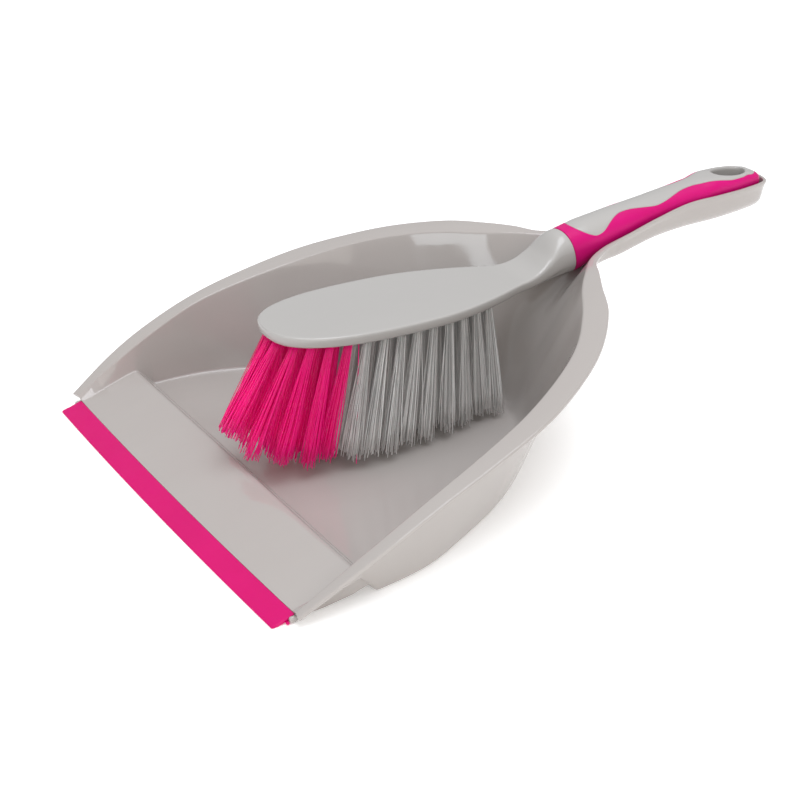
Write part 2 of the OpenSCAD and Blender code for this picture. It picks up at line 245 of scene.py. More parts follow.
def filament(name, light, dark, rough, painted_glow):
    """Drawn plastic filament: each one has its own tone, all darken a little towards the roots as painted
    shade, and a faint emission paints a glow into them.
    """
    n = Nodes(name)
    tone = n.new("ShaderNodeAttribute")
    tone.attribute_name = "tone"
    streak = n.noise(500, 2, 0.5, (1, 1, 0.05))
    mixed = n.new("ShaderNodeMath")
    mixed.operation = "MULTIPLY_ADD"
    n.put(mixed.inputs[0], streak)
    n.put(mixed.inputs[1], 0.5)
    n.put(mixed.inputs[2], tone.outputs["Fac"])
    n.set(Base_Color=n.mix(n.ramp(mixed.outputs[0], 0, 1, 0.1, 1.3), dark, light))
    n.set(Roughness=n.ramp(streak, rough - 0.05, rough + 0.08))
    n.set(Specular_IOR_Level=0.5)
    n.set(Subsurface_Weight=0.12, Subsurface_Scale=0.0008, Subsurface_Radius=(1.0, 0.6, 0.6))
    # Painted glow: emission that stands in for light passing through and between the filaments.
    n.set(Emission_Color=light, Emission_Strength=painted_glow)
    return n.material


def flat_wire(name):
    """Drawn flat steel wire, with fine lines along it."""
    n = Nodes(name)
    lines = n.noise(900, 2, 0.5, (0.05, 1, 1))
    n.set(Base_Color=n.mix(n.ramp(lines, 0, 1), rgb(150, 150, 154), rgb(200, 200, 204)))
    n.set(Metallic=1.0, Roughness=n.ramp(lines, 0.25, 0.45))
    return n.material


pan_plastic = moulded_plastic("pan_plastic", rgb(174, 168, 164), rgb(170, 163, 159), 0.07, 0.012)
brush_plastic = moulded_plastic("brush_plastic", rgb(175, 172, 169), rgb(172, 169, 166), 0.2, 0.015)
lip_rubber = soft_rubber("lip_rubber", rgb(206, 0, 107), rgb(199, 0, 102), 0.42, 0.06)
grip_rubber = soft_rubber("grip_rubber", rgb(204, 8, 115), rgb(197, 3, 108), 0.42, 0.08)
# The last number of each filament material is its painted glow.
bright_filament = filament("bright_filament", rgb(255, 8, 140), rgb(206, 0, 94), 0.3, 0.065)
grey_filament = filament("grey_filament", rgb(242, 240, 238), rgb(124, 124, 123), 0.28, 0.032)
anchor_steel = flat_wire("anchor_steel")


# ---- Pan: stations run from the lip, round the wall and along the trough handle ------------------

WALL = 2.0
TROUGH_WALL = 1.3
TROUGH_S = 13        # the station where the trough's thinner wall begins
THINNING = 2         # stations over which the wall thins
SIDE_FROM, SIDE_RUN = 12, 1.5   # where the rim starts to run straight into the side, and how soon it does
LIP_HALF_W = 105.0
LIP_DEPTH = 10.5
LIP_REAR_Z = 3.5
RAMP_TOP_Y = 40.5
RAMP_TOP_Z = 11.5
STEP_RUN = 8.6       # from the ramp's top back to the floor
STEP_SLOPE = 1.15
CREST_SOFT = 2.2     # how rounded the crest is
RIM_IN = [
    (107.2, 9.7, 5.4), (108.1, 30, 16.8), (108.5, 50, 27.2), (107.6, 75, 38.4), (103.5, 100, 46),
    (96.2, 128, 53.3), (85.7, 153, 60.1), (73.5, 172, 64.8), (57, 188, 68.9), (40, 201, 71.3),
    (28, 212.5, 73), (18, 223.5, 73.4), (12.5, 236, 74.6), (11.5, 252, 77.5), (11.1, 270, 81.5),
    (10.9, 290, 84.9), (11.5, 309, 85.2), (11.1, 327, 85.2), (8.2, 342.3, 85), (0, 347.2, 84.4)]
RIM_OUT = [
    (111, 8.5, 5.4), (114.8, 30, 18.2), (116.3, 50, 28.3), (115.8, 75, 38.6), (113.3, 100, 46.3),
    (107, 132, 54.7), (95.7, 158.6, 61.2), (82.4, 179, 66.3), (64, 197, 70.9), (46.5, 207.5, 73.5),
    (33.5, 216, 74.3), (22.6, 223.6, 73.7), (15, 236.6, 74.8), (13, 252, 77.6), (12.6, 270, 81.6),
    (12.4, 290, 84.9), (13, 309.3, 85.2), (12.6, 327.8, 85.2), (9.2, 343.6, 85), (0, 348.6, 84.4)]
WALL_FOOT = [
    (102.5, 10.5, 2), (105, 30, 2), (104.6, 50, 2), (101.4, 75, 2), (92.5, 98, 2),
    (80, 124, 2), (65, 146, 2), (49, 163, 2), (32, 176, 2), (15, 184.5, 2),
    (7, 193, 14), (6.5, 207, 42), (7.5, 231, 60.8), (9, 250, 66.1), (9.4, 270, 70.3),
    (9.5, 290, 71.7), (10.2, 309, 71.9), (9.8, 326, 72.3), (6.8, 340.8, 72.5), (0, 344.6, 72.5)]
FOOT_ROUND = [0.8, 0.8, 1.2, 1.8, 2.4, 3.2, 4.5, 7, 10, 14, 20, 16, 8, 5, 5, 5, 5, 5, 4, 3]
END_LAG = [0, 1.4, 2.2, 2.5]   # how far the trough's middle lags behind its sides, from END_S on
END_S = 16
FLOOR_S = 9          # the last station of the flat floor
FRONT_STEPS = 8      # stations from the tables' first row to the next
RAMP_STEPS = 44      # stations across the ramp's crest, in the next gap
PAN_STEPS = 9        # stations in each of the other gaps


def ramp_z(y):
    """Height of the ramp and of the step behind it."""
    rise = (RAMP_TOP_Z - LIP_REAR_Z) / (RAMP_TOP_Y - LIP_DEPTH)
    ramp = LIP_REAR_Z + rise * (y - LIP_DEPTH)
    back = WALL + (RAMP_TOP_Y + STEP_RUN - y) * STEP_SLOPE
    crest = 0.5 * (ramp + back - np.sqrt((ramp - back) ** 2 + CREST_SOFT))
    return np.maximum(WALL, crest)


def bow(x, y):
    """How far the lip's curve brings the ramp forward."""
    fade = np.clip(1 - (y - LIP_DEPTH) / (RAMP_TOP_Y - LIP_DEPTH), 0, 1)
    return LIP_BOW * (1 - (x / LIP_HALF_W) ** 2) * fade


def pan_stations():
    """Places along the tables' rows, counted in rows."""
    steps = [FRONT_STEPS, RAMP_STEPS] + [PAN_STEPS] * (len(RIM_IN) - 3)
    parts = [k + np.arange(n) / n for k, n in enumerate(steps)]
    return np.concatenate(parts + [[len(RIM_IN) - 1]])


def pan_sections(s):
    """The inner surface with sharp corners: rim's outer edge, rim's inner edge, wall, foot, floor."""
    wall_n, round_n, floor_n = 9, 12, 14
    outer, inner, foot = curve(RIM_OUT, s), curve(RIM_IN, s), curve(WALL_FOOT, s)
    foot[:, 2] = np.where(s < FLOOR_S, ramp_z(foot[:, 1]), np.maximum(WALL, foot[:, 2]))
    middle = foot.copy()
    middle[:, 0] = 0
    middle[:, 1] -= curve(END_LAG, np.maximum(0, s - END_S))
    size, most = curve(FOOT_ROUND, s), 0.8
    up, aside = inner - foot, middle - foot
    up_share = np.minimum(most, size / np.linalg.norm(up, axis=1))[:, None]
    side_share = np.minimum(most, size / np.maximum(np.linalg.norm(aside, axis=1), 1e-9))[:, None]
    a, b = foot + up * up_share, foot + aside * side_share
    columns = [outer]
    columns += [lerp(inner, a, i / wall_n) for i in range(wall_n)]
    columns += [bezier(a, foot, b, i / round_n) for i in range(round_n + 1)]
    for i in range(1, floor_n + 1):
        p = lerp(b, middle, i / floor_n)
        p[:, 1] -= bow(p[:, 0], p[:, 1])
        columns.append(p)
    return np.stack(columns, 1)


def pan_underside(top, s):
    """The outer surface, a wall's thickness away, with mitred corners."""
    across = np.array([-1, 1, 1])
    before = np.concatenate([top[:1], top[:-1]])
    after = np.concatenate([top[1:], top[-2:-1] * across])
    run = after - before
    run = run[:, 1:] + run[:, :-1]
    normal = unit(np.cross(run, top[:, 1:] - top[:, :-1]))
    normal[-1] = normal[-2]
    first, second = normal[:, :-1], normal[:, 1:]
    dot = np.sum(first * second, axis=2, keepdims=True)
    inside = (first + second) / (1 + dot)
    centre = normal[:, -1:] * [0, 1, 1]
    centre = centre / np.maximum(np.sum(centre * normal[:, -1:], axis=2, keepdims=True), 0.2)
    thick = lerp(WALL, TROUGH_WALL, smooth(1 - (TROUGH_S - s) / THINNING))[:, None, None]
    under = top - thick * np.concatenate([normal[:, :1], inside, centre], 1)
    under[..., 2] = np.maximum(under[..., 2], 0)
    under[-1, :, 0] = 0   # the last station lies on the middle plane
    return under


def rounded(a, corner, b, size, steps):
    """Columns that round a corner between two edges, over some distance along each."""
    most = 0.45
    to_a, to_b = a - corner, b - corner
    len_a, len_b = (np.linalg.norm(v, axis=1, keepdims=True) for v in (to_a, to_b))
    start = corner + to_a * np.minimum(size / np.maximum(len_a, 1e-9), most)
    end = corner + to_b * np.minimum(size / np.maximum(len_b, 1e-9), most)
    return [bezier(start, corner, end, i / steps) for i in range(steps + 1)]


SKIRT = np.array([   # distance back from the lip, and height
    (0.5, 0.3), (13.5, 1.1), (26.7, 3), (30, 4.2), (33.6, 5.2), (34, 6.6), (31.5, 9.4), (30, 10.2),
    (0.5, 2.6)])
SKIRT_X = 102.0
SKIRT_TURN = math.radians(3.6)


def skirt(shell):
    """A plate with rounded edges that closes the ramp's end, from the front corner back to the notch."""
    rows = []
    for offset, shrink in ((0, 1), (0, 0.024), (0.12, 0.0064), (0.3, 0),
                           (1.7, 0), (1.88, 0.0064), (2, 0.024), (2, 1)):
        outline = SKIRT + (SKIRT.mean(0) - SKIRT) * shrink
        x = SKIRT_X + offset * math.cos(SKIRT_TURN) + outline[:, 0] * math.sin(SKIRT_TURN)
        y = LIP_DEPTH - offset * math.sin(SKIRT_TURN) + outline[:, 0] * math.cos(SKIRT_TURN)
        rows.append(np.stack([x, y, outline[:, 1]], 1))
    shell.grid(rows, wrap=True)


def pebble(shell, centre, half):
    """A small lump with rounded sides, between a ball and a block."""
    rings, sides, boxiness = 8, 16, 0.6
    rows = []
    for i in range(rings + 1):
        a = math.pi * (i / rings - 0.5)
        ring = []
        for j in range(sides):
            b = 2 * math.pi * j / sides
            ball = [math.cos(a) * math.cos(b), math.cos(a) * math.sin(b), math.sin(a)]
            lump = [math.copysign(abs(v) ** boxiness, v) for v in ball]
            ring.append([c + h * v for c, h, v in zip(centre, half, lump)])
        rows.append(ring)
    shell.grid(rows, wrap=True)


def make_pan():
    """One closed loop of columns at each station: underside, rounded rim, inner surface."""
    s = pan_stations()
    top = pan_sections(s)
    under = pan_underside(top, s)
    in_trough = smooth((s - SIDE_FROM) / SIDE_RUN)[:, None]
    side_n = 5   # columns of the underside's side
    for k in range(1, side_n):
        straight = lerp(under[:, 0], under[:, side_n], k / side_n)
        under[:, k] = lerp(under[:, k], straight, in_trough)
    edge_steps, round_steps = 8, 5
    outer_round, inner_round = 1.0, 0.9
    inward = unit(top[:, 1] - top[:, 0])
    flange = np.linalg.norm(top[:, 1] - top[:, 0], axis=1, keepdims=True)
    height = np.linalg.norm(top[:, 0] - under[:, 0], axis=1, keepdims=True)
    upward = (top[:, 0] - under[:, 0]) / height
    radius = np.minimum(height / 2, flange * 0.3)
    centre = (top[:, 0] + under[:, 0]) / 2 + inward * radius
    edge = []
    for i in range(edge_steps + 1):
        angle = math.pi * i / edge_steps
        out = inward * radius * math.sin(angle) ** 0.7
        edge.append(centre - out - upward * height / 2 * math.cos(angle))
    half = edge_steps // 2   # in the trough, the rim's lower half runs straight into the side
    for i in range(half):
        edge[i] = lerp(edge[i], lerp(under[:, 0], edge[half], i / half), in_trough)
    loop = [under[:, j] for j in range(under.shape[1] - 1, 1, -1)]
    loop += rounded(under[:, 2], under[:, 1], under[:, 0], outer_round, round_steps)
    loop += edge
    loop += rounded(top[:, 0], top[:, 1], top[:, 2], inner_round, round_steps)
    loop += [top[:, j] for j in range(2, top.shape[1])]
    rows = np.stack(loop, 1)
    shell = Shell()
    shell.grid(rows)
    front = rows[0]   # closed by faces between the underside and the inner surface
    m = len(front)
    shell.add(front, [[j, j + 1, m - 2 - j, m - 1 - j] for j in range(m // 2 - 1)])
    skirt(shell)
    pebble(shell, (105.7, 9.4, 1.75), (1.0, 1.9, 1.35))   # the rounded front corner
    return shell.make("pan_shell", pan_plastic, weld=2e-3, sharp=40)


# ---- Lip strip ----------------------------------------------------------------------------------

def make_lip():
    """A wedge of soft rubber along the ramp's front edge, with rounded edges and ends."""
    rear_low = max(0.0, LIP_REAR_Z - WALL)
    outline = np.array([
        (2.6, 0.0), (1.2, 0.0), (0.45, 0.02), (0.12, 0.12), (0.0, 0.32), (0.08, 0.58), (0.35, 0.85),
        (1.0, 1.06), (2.5, 1.48), (4.5, 2.0), (6.5, 2.52), (8.6, 3.06), (9.7, 3.34), (10.15, 3.43),
        (10.42, 3.36), (10.5, 3.15), (10.5, 2.4), (10.5, rear_low), (9.0, rear_low - 0.45), (6.0, 0.55)])
    straight_n = 40
    xs = np.concatenate([np.linspace(0, 104.2, straight_n), [104.6, 104.85, 105.0]])
    shrink = np.concatenate([np.zeros(straight_n), [0.06, 0.18, 0.4]])
    middle = outline.mean(0)
    rows = []
    for x, inset in zip(xs, shrink):
        ring = outline + unit(middle - outline) * inset
        b = LIP_BOW * (1 - (x / LIP_HALF_W) ** 2)
        rows.append([(x, y - b, z) for y, z in ring])
    shell = Shell()
    shell.grid(rows, wrap=True)
    shell.add(rows[-1], [list(range(len(outline)))])
    pebble(shell, (105.6, 6.9, 0.75), (0.8, 0.7, 0.6))   # the nib beside the front corner
    return shell.make("lip_wedge", lip_rubber, weld=1e-3, sharp=50)


# ---- Brush --------------------------------------------------------------------------------------

HEAD_TIP_Y = 57.5
HEAD_WIDE_Y = 118.0
HEAD_HALF_W = 27.3
HEAD_TIP_Z = 73.0
HEAD_SLOPE = math.tan(math.radians(2.6))
HEAD_T = 6.5
NECK_Y = 205.0
NECK_HALF_W = 11.0
NECK_START, NECK_RUN = 172.0, 18.0     # the head turns into the neck
EDGE_START, EDGE_RUN = 186.0, 35.0     # the rounded edge grows to NECK_EDGE
NECK_EDGE = 3.4
ROUND_START, ROUND_RUN = 197.0, 23.0   # the neck turns into the round handle
COLLAR_Y = 221.0
COLLAR_LEAN = 0.24
LEAN_RUN = 22.0
HANDLE_W = [
    (172, 17), (190, 12.6), (205, 10.7), (221, 10.3), (232, 10), (250, 9.3), (270, 9.2), (290, 9.6),
    (308, 10.2), (322, 10.1), (333, 9), (340, 7.6), (343.4, 5.2), (345, 2.8), (345.6, 1.2)]
HANDLE_TOP = [
    (172, 67.8), (186, 67.2), (193, 67.3), (200, 69.3), (207, 74.1), (212.5, 79.3), (217, 82.1),
    (221, 83), (232, 85.3), (250, 87.2), (270, 88.6), (290, 90.3), (308, 91.95), (322, 91.85),
    (333, 90.9), (339.8, 89.4), (343.3, 87.5), (345.1, 85.8), (345.6, 84.6)]
HANDLE_LOW = [
    (172, 61.3), (190, 60.7), (200, 60.8), (208, 61), (221, 61.1), (232, 63.9), (250, 68),
    (270, 72), (290, 73.5), (308, 73.8), (322, 74.2), (333, 75.4), (340, 77.2), (343.6, 79.6),
    (345.1, 81.6), (345.6, 82.8)]
SQUARENESS = 2.3     # of the handle's section: 2 for an ellipse
HANG_SQUARENESS = 4.0
FLAT_REACH = 12.0
FLAT_FADE = 12.0
HANG_Y, HANG_HALF_W, HANG_HALF_L, HANG_RING = 325.0, 5.8, 10.2, 2.5


def head_top(y):
    return HEAD_TIP_Z - (y - HEAD_TIP_Y) * HEAD_SLOPE


def head_w(y):
    """Half of the head's width: a superellipse in front, easing into the neck behind."""
    t = np.clip((HEAD_WIDE_Y - y) / (HEAD_WIDE_Y - HEAD_TIP_Y), 0, 1)
    nose = HEAD_HALF_W * (1 - t ** 2.5) ** (1 / 2.5)
    back = np.clip((y - HEAD_WIDE_Y) / (NECK_Y - HEAD_WIDE_Y), 0, 1) ** 1.35
    return np.where(y < HEAD_WIDE_Y, nose, HEAD_HALF_W - (HEAD_HALF_W - NECK_HALF_W) * smooth(back))


def ring_lean(y):
    """How far the handle's ring leans back, for each millimetre up."""
    return COLLAR_LEAN * smooth(1 - abs(y - COLLAR_Y) / LEAN_RUN)


def handle_frame(y, inset=0.0):
    """Half width, middle height and half height of the handle."""
    top, low = along(HANDLE_TOP, y) - inset, along(HANDLE_LOW, y) + inset
    return along(HANDLE_W, y) - inset, (top + low) / 2, (top - low) / 2


def top_squareness(y):
    """How square the upper half of the handle's section is: more so round the hanging hole."""
    near_hole = smooth((FLAT_REACH + FLAT_FADE - abs(y - HANG_Y)) / FLAT_FADE)
    return float(lerp(SQUARENESS, HANG_SQUARENESS, near_hole))


def handle_points(y, angles, inset):
    """Points of the handle's ring at y. The angle is 90 at the top, 0 at the side and -90 below."""
    w, mid, h = handle_frame(y)
    c, s = np.cos(angles), np.sin(angles)
    w, h = w - inset, h - inset
    power = 2 / np.where(s > 0, top_squareness(y), SQUARENESS)
    up = h * np.sign(s) * np.abs(s) ** power
    x = w * np.maximum(c, 0) ** power
    return np.stack([x, y - ring_lean(y) * up + 0 * x, mid + up], -1)


def top_points(x, y, inset):
    """Points of the handle's top at x, let down by an inset."""
    w, mid, h = handle_frame(y)
    square = top_squareness(y)
    up = h * (1 - np.minimum(1, x / w) ** square) ** (1 / square) - inset
    return np.stack([x, y - ring_lean(y) * up, mid + up], -1)


def angle_at(x, y, square):
    """The ring's angle where it reaches x, in the half with this squareness."""
    w = float(handle_frame(y)[0])
    return math.acos(min(1.0, max(0.0, x / w)) ** (square / 2))


HEAD_PROFILE = np.array([   # distance in from the edge, and height under the top face
    (1.15, 0.0), (0.9, -0.02), (0.65, -0.09), (0.42, -0.21), (0.23, -0.39), (0.1, -0.62), (0.02, -0.95),
    (0.0, -1.6), (0.07, -2.4), (0.22, -3.3), (0.5, -4.1), (0.9, -4.8), (1.35, -5.2), (1.9, -5.42),
    (2.6, -5.5), (3.6, -5.56), (4.0, -5.7), (4.2, -6.2), (4.6, -6.5)])
TOP_N = 10
UNDER_N = 6


def neck_section(y, edge):
    """Half of the neck's section: a flat top, a rounded edge, and a side that tapers inward below."""
    top, low = float(along(HANDLE_TOP, y)), float(along(HANDLE_LOW, y))
    w = float(along(HANDLE_W, y))
    grow = edge / HEAD_PROFILE[0, 0]
    inset, drop = HEAD_PROFILE[:, 0].copy(), HEAD_PROFILE[:, 1].copy()
    corner = 7   # the profile's first rows are its rounded upper edge
    inset[:corner] *= grow
    side = (drop[corner:] - drop[corner]) / (drop[-1] - drop[corner])
    start = drop[corner - 1] * grow - 0.3
    drop = np.concatenate([drop[:corner] * grow, start + side * (low - top - start)])
    inset = inset * (w / NECK_HALF_W) ** 0.5
    x = np.concatenate([
        np.linspace(0, w - inset[0], TOP_N, endpoint=False), w - inset,
        np.linspace(w - inset[-1], 0, UNDER_N + 1)[1:]])
    z = np.concatenate([np.full(TOP_N, top), top + drop, np.full(UNDER_N, low)])
    return np.stack([x, y - ring_lean(y) * (z - (top + low) / 2), z], 1)


def head_and_neck(shell):
    """The plate that holds the tufts, sweeping up into the round neck and on into the grip."""
    nose = np.radians([
        0, 0.5, 1.5, 3, 5, 7.5, 10.5, 14, 18, 22, 27, 32, 38, 44, 50, 57, 64, 71, 78, 84])
    length = HEAD_WIDE_Y - HEAD_TIP_Y
    reach = length - HEAD_HALF_W ** 2 / length
    stations = [(HEAD_WIDE_Y - length * math.cos(a), HEAD_WIDE_Y - reach * math.cos(a)) for a in nose]
    flank = np.concatenate([np.arange(HEAD_WIDE_Y, 166, 4), np.arange(166, COLLAR_Y, 1.5)])
    stations += [(y, y) for y in flank]
    stations += [(COLLAR_Y - 0.5, COLLAR_Y - 0.5), (COLLAR_Y - 0.12, COLLAR_Y - 0.12)]
    edge_n = len(HEAD_PROFILE)
    total = TOP_N + edge_n + UNDER_N
    shoulder, belly = 52, -42   # angles on the round handle that the edge's first and last rows reach
    angles = np.radians(np.concatenate([
        np.linspace(90, shoulder, TOP_N, endpoint=False),
        np.linspace(shoulder, belly, edge_n, endpoint=False),
        np.linspace(belly, -90, UNDER_N)]))
    rows = []
    for y_edge, y_mid in stations:
        w = float(head_w(np.array(y_edge)))
        span = math.hypot(w, y_mid - y_edge)
        scale = min(1.0, span / 5.5)
        inset = np.concatenate([
            np.linspace(span, HEAD_PROFILE[0, 0] * scale, TOP_N, endpoint=False),
            HEAD_PROFILE[:, 0] * scale,
            np.linspace(HEAD_PROFILE[-1, 0] * scale, span, UNDER_N + 1)[1:]])
        drop = np.concatenate([np.zeros(TOP_N), HEAD_PROFILE[:, 1], np.full(UNDER_N, -HEAD_T)])
        share = inset / max(span, 1e-9)
        x = w * (1 - share)
        y = y_edge + (y_mid - y_edge) * share
        points = np.stack([x, y, head_top(y) + drop], 1)
        if y_edge > NECK_START:
            growth = float(smooth((y_edge - EDGE_START) / EDGE_RUN))
            section = neck_section(y_edge, lerp(HEAD_PROFILE[0, 0], NECK_EDGE, growth))
            points = lerp(points, section, float(smooth((y_edge - NECK_START) / NECK_RUN)))
            shrink = 0.35 if y_edge > COLLAR_Y - 0.2 else (0.06 if y_edge > COLLAR_Y - 0.6 else 0.0)
            ring = handle_points(y_edge, angles, shrink)
            points = lerp(points, ring, float(smooth((y_edge - ROUND_START) / ROUND_RUN)))
        rows.append(points)
    # The neck's end goes on inside the grip.
    for y, inset in ((COLLAR_Y - 0.05, 1.2), (COLLAR_Y + 4, 2.2), (COLLAR_Y + 9, 3.0)):
        rows.append(handle_points(y, angles, inset))
    shell.grid(rows)
    shell.add(rows[-1], [list(range(total))])


INLAY_W = [
    (235, 9.2), (239, 8.8), (243, 7.4), (247, 5.8), (251, 4.7), (257, 4.8), (264, 6), (272, 7.2),
    (279, 6.8), (285, 5.6), (291, 4.4), (298, 4.4), (305, 5.8), (312, 7.8), (320, 8.9), (328, 8.3),
    (333, 7.2)]
INLAY_START, INLAY_FULL = 226.0, 235.0   # its round front end
INLAY_FADE, INLAY_END = 333.0, 341.4     # its round back end
BRUSH_END_Y = 345.6
GRIP_T = 1.8


def inlay_w(y):
    """Half width of the grey inlay in the grip's top, with round ends."""
    if y <= INLAY_START or y >= INLAY_END:
        return 0.0
    if y < INLAY_FULL:
        t = (INLAY_FULL - y) / (INLAY_FULL - INLAY_START)
        return INLAY_W[0][1] * (1 - t ** 2.2) ** (1 / 2.2)
    if y > INLAY_FADE:
        t = (y - INLAY_FADE) / (INLAY_END - INLAY_FADE)
        return INLAY_W[-1][1] * math.sqrt(1 - t ** 2)
    return float(along(INLAY_W, y))


def oval_w(y, margin):
    """Half width of the oval hanging hole, grown by a margin."""
    t = (y - HANG_Y) / (HANG_HALF_L + margin)
    return (HANG_HALF_W + margin) * math.sqrt(1 - t * t) if abs(t) < 1 else 0.0


def handle_stations():
    """Places along the handle, closer together at the collar, the inlay's ends and the hanging hole."""
    quarter = np.radians(np.arange(0, 91, 7.5))
    parts = [
        COLLAR_Y + np.array([0, 0.15, 0.5, 1.2]), np.arange(COLLAR_Y + 2, INLAY_START, 1.0),
        INLAY_FULL - (INLAY_FULL - INLAY_START) * np.cos(quarter),
        np.arange(INLAY_FULL, HANG_Y - 14, 1.2),
        INLAY_FADE + (INLAY_END - INLAY_FADE) * np.sin(quarter),
        BRUSH_END_Y - np.array([1.6, 1.3, 1.0, 0.75, 0.5, 0.3, 0.15, 0.05, 0])]
    for margin in (0, HANG_RING):
        out = (HANG_HALF_L + margin) * np.sin(np.radians(np.arange(0, 91, 5)))
        parts += [HANG_Y - out, HANG_Y + out]
    ys = np.sort(np.concatenate(parts))
    keep = [ys[0]]
    for y in ys[1:]:
        if y - keep[-1] > 0.02:
            keep.append(y)
    return keep


SEAM = [(0.0, 0.55), (0.07, 0.3), (0.18, 0.12), (0.34, 0.035), (0.6, 0.0)]   # distance from it, depth


def make_grip():
    """The soft sleeve round the handle, open at the top for the inlay and below for the hanging hole."""
    outer, inner, open_top, open_low = [], [], [], []
    around = 34
    for y in handle_stations():
        w, _, h = handle_frame(y)
        top_x = inlay_w(y)
        low_x = oval_w(y, HANG_RING)
        start, end = angle_at(top_x, y, top_squareness(y)), -angle_at(low_x, y, SQUARENESS)
        size = float(max(min(w, h), 0.3))
        seam_angles = [min(d / size, (start - end) * 0.2) for d, _ in SEAM]
        angles, depth = [], []
        for (_, inset), a in zip(SEAM, seam_angles):
            angles.append(start - a)
            depth.append(inset if top_x > 0 else 0.0)
        inner_part = np.linspace(start - seam_angles[-1], end + seam_angles[-1], around + 1)[1:-1]
        angles += list(inner_part)
        depth += [0.0] * len(inner_part)
        for (_, inset), a in reversed(list(zip(SEAM, seam_angles))):
            angles.append(end + a)
            depth.append(inset if low_x > 0 else 0.0)
        angles, depth = np.array(angles), np.array(depth)
        edge = max(0.0, 0.5 - (y - COLLAR_Y) * 1.6)   # rounds the end at the collar
        depth = np.minimum(np.maximum(depth, edge ** 2 * 1.4), size * 0.4)
        outer.append(handle_points(y, angles, depth))
        inner.append(handle_points(y, angles, np.full(len(angles), min(GRIP_T, size * 0.6))))
        open_top.append(top_x > 0)
        open_low.append(low_x > 0)
    shell = Shell()
    shell.grid(outer)
    shell.grid(inner)
    n, m = len(outer), len(outer[0])
    both = [p for row in outer for p in row] + [p for row in inner for p in row]
    sides = [[i * m + j, (i + 1) * m + j, (n + i + 1) * m + j, (n + i) * m + j]
             for j, is_open in ((0, open_top), (m - 1, open_low))
             for i in range(n - 1) if is_open[i] or is_open[i + 1]]
    sides += [[j, j + 1, n * m + j + 1, n * m + j] for j in range(m - 1)]
    shell.add(both, sides)
    shell.add(outer[-1], [list(range(m))])
    shell.add(inner[-1], [list(range(m))])
    return shell.make("grip_sleeve", grip_rubber, weld=1e-3, sharp=55)


HOLE_EDGE = [(0.0, 2.1), (0.06, 1.5), (0.25, 0.95), (0.55, 0.48), (1.0, 0.16), (1.6, 0.0)]   # as SEAM
INLAY_T = 2.6        # thickness of the inlay's visible part


def inlay(shell):
    """The part of the moulded body that shows through the grip, with the hanging hole's edge."""
    tops, lows, hole_open = [], [], []
    middle_n = 9
    for y in handle_stations():
        if y < INLAY_START - 1e-6 or y > INLAY_END + 1e-6:
            continue
        wide, hole = inlay_w(y), oval_w(y, 0)
        span = max(wide - hole, 0.0)
        narrow = min(1.0, span * 0.65 / HOLE_EDGE[-1][0])
        near = [(hole + d * narrow, inset if hole > 0 else 0.0) for d, inset in HOLE_EDGE]
        far = [(wide - min(d, span * 0.25), inset) for d, inset in reversed(SEAM)]
        mids = [(x, 0.0) for x in np.linspace(near[-1][0], far[0][0], middle_n + 1)[1:-1]]
        x, depth = np.array(near + mids + far).T
        tops.append(top_points(x, y, depth))
        lows.append(top_points(x, y, 0 * x + INLAY_T))
        hole_open.append(hole > 0)
    shell.grid(tops)
    shell.grid(lows)
    n, m = len(tops), len(tops[0])
    both = [p for row in tops for p in row] + [p for row in lows for p in row]
    sides = [[i * m + j, (i + 1) * m + j, (n + i + 1) * m + j, (n + i) * m + j]
             for j in (m - 1, 0)
             for i in range(n - 1) if j or hole_open[i] or hole_open[i + 1]]
    shell.add(both, sides)


def hanging_tube(shell):
    """The oval tube that lines the hanging hole, from under the inlay to the underside of the grip."""
    outline = (   # distance out from the hole, distance in from the handle's skin, and whether at the top
        (0, HOLE_EDGE[0][1], True), (0, 5.0, True), (0, 0.5, False), (0.5, 0.0, False),
        (HANG_RING - 0.4, 0.0, False), (HANG_RING, 0.4, False), (HANG_RING, 2.5, False))
    rows = []
    for margin, inset, top in outline:
        row = []
        for a in np.radians(np.linspace(-90, 90, 61)):
            x = max(0.0, (HANG_HALF_W + margin) * math.cos(a))
            y = HANG_Y + (HANG_HALF_L + margin) * math.sin(a)
            if top:
                row.append(top_points(np.array(x), y, inset))
            else:
                w, mid, h = (float(v) for v in handle_frame(y))
                row.append((x, y, mid + inset - h * (1 - (x / w) ** SQUARENESS) ** (1 / SQUARENESS)))
        rows.append(row)
    shell.grid(rows)


def make_brush_body():
    shell = Shell()
    head_and_neck(shell)
    inlay(shell)
    hanging_tube(shell)
    return shell.make("brush_body", brush_plastic, weld=1e-3, sharp=45)


# ---- Bristles -----------------------------------------------------------------------------------

ROWS = 15
BRIGHT_ROWS = 5
FILAMENTS = 54               # in a tuft
FILAMENT_R = 0.2
FILAMENT_SIDES = 5
FILAMENT_RINGS = 7
GOLDEN_TURN = 2.39996        # turns each filament from the last, so that they fill the tuft evenly
LONG_FAN = 1.15              # how much wider a tuft's tip is along the brush than across it
WILD_SHARE = 0.03            # of the filaments, which stick out

# In metres, as the tufts' places in the frame are.
TUFT_DEPTH = 0.0036          # how far the sloping end faces of a CAD row's tufts reach up or down
TUFT_GAP = 0.0012            # the least gap between two tufts of a row
ROOT_SPREAD = 0.0016
TIP_SPREAD = 0.0031
SPREADS = (-0.0004, 0.0012)  # added to TIP_SPREAD
LENGTHS = (-0.0050, 0.0006)  # how far past the tuft's tip a filament ends
TUFT_LEAN = 0.0009
TIP_SCATTER = 0.0006
WILD_SCATTER = 0.0026
BEND = 0.0005

# Each filament's tone, from dark to light, is its own; on top, a painted shade darkens the roots, so the
# tone rises from root to tip.
OWN_TONE = 0.75
# painted shade: how much lighter the tips are than the roots
PAINTED_ROOT_SHADE = 0.25
STRAY_TONE = 0.8


